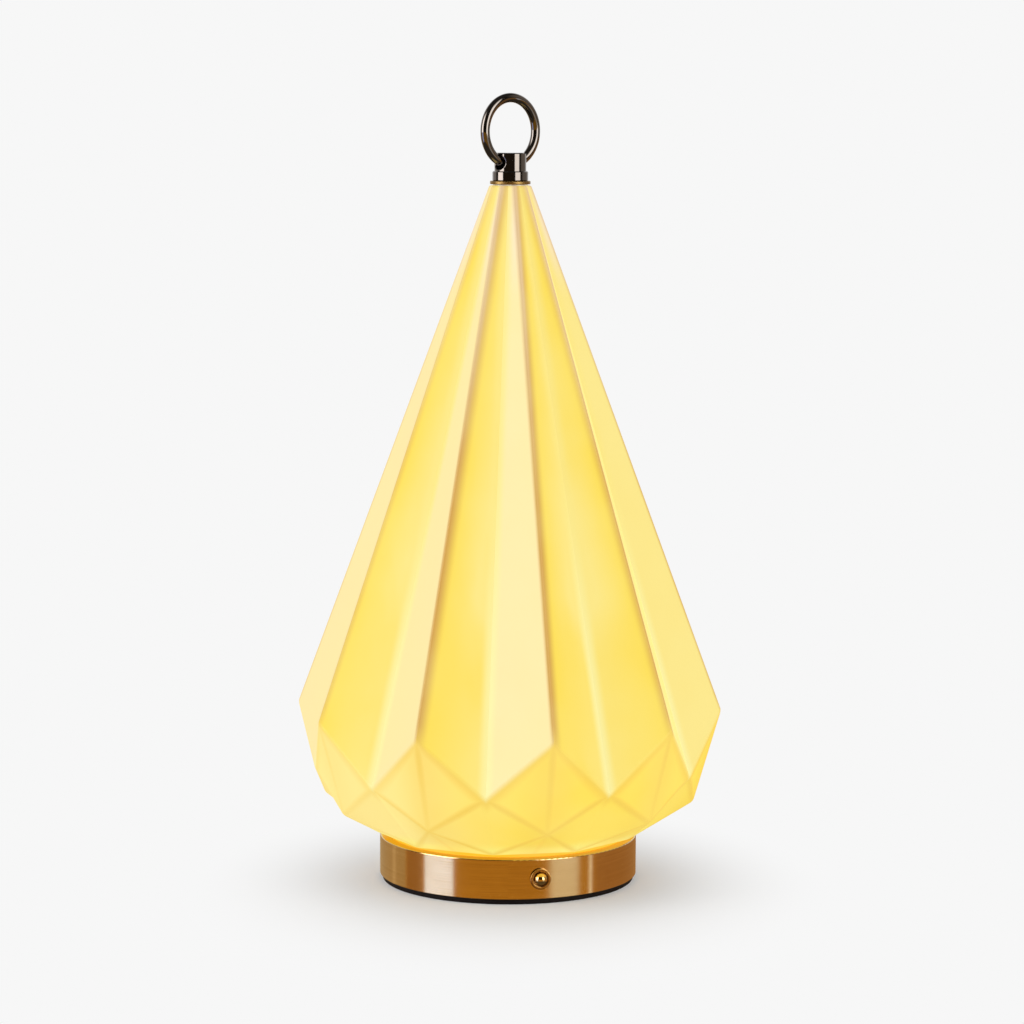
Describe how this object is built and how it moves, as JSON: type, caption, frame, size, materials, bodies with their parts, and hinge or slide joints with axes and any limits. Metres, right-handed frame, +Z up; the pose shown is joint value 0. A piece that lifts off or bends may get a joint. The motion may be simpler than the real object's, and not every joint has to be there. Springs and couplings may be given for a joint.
{
  "type": "cordless table lamp",
  "caption": "Cordless table lamp: folded translucent china shade on a low brass drum, with a carry ring on top and a ball push button on the drum.",
  "frame": {"origin": "centre of the foot's flat underside, on the lamp's axis", "axes": "+Z up along the lamp's axis; -Y is the front, where the push button is"},
  "size_m": [0.1582, 0.1558, 0.2924],
  "materials": {
    "china": "satin",
    "brass": "brushed",
    "polished_brass": "polished",
    "black_nickel": "polished",
    "black_rubber": "matte",
    "clear_silicone": "matte",
    "zinc_steel": "satin",
    "screw_steel": "satin",
    "board": "satin",
    "chips": "matte",
    "white_plastic": "satin",
    "black_plastic": "satin",
    "pouch": "satin",
    "foam": "matte",
    "lead_cover": "satin",
    "light_board": "satin",
    "phosphor": "satin",
    "opal": "satin"
  },
  "bodies": {
    "lamp": {"shade": "china", "shade_gasket": "clear_silicone", "base_drum": "brass", "base_plate": "zinc_steel", "foot_pad": "black_rubber", "plate_screws": "screw_steel", "centre_rod": "zinc_steel", "upper_rod_nut": "zinc_steel", "lower_rod_nut": "zinc_steel", "lock_washer": "zinc_steel", "top_gasket": "clear_silicone", "top_washer": "brass", "top_hub": "black_nickel", "button_bezel": "brass", "switch_body": "black_plastic", "control_board": "board", "board_screws": "screw_steel", "board_chips": "chips", "charge_socket": "screw_steel", "socket_tongue": "black_plastic", "battery_pack": "pouch", "battery_pad": "foam", "battery_plug": "white_plastic", "battery_header": "white_plastic", "battery_lead": "lead_cover", "led_board": "light_board", "led_chips": "phosphor", "led_screws": "screw_steel", "led_dome": "opal", "dome_screws": "screw_steel", "lead_grommet": "black_rubber", "led_lead": "lead_cover"},
    "ring": {"carry_ring": "black_nickel"},
    "button": {"push_button": "polished_brass", "button_clip": "screw_steel", "switch_plunger": "white_plastic"}
  },
  "joints": [
    {"name": "ring_swing", "type": "hinge", "parent": "lamp", "child": "ring", "pos_m": [0, 0, 0.2671], "axis": [0.7593, 0.6508, 0], "range_deg": [-138, 138]},
    {"name": "button_press", "type": "slide", "parent": "lamp", "child": "button", "axis": [-0.2453, 0.9694, 0], "range_m": [0, 0.001], "stiffness_N_per_m": 1500, "springref_m": -0.0007}
  ]
}
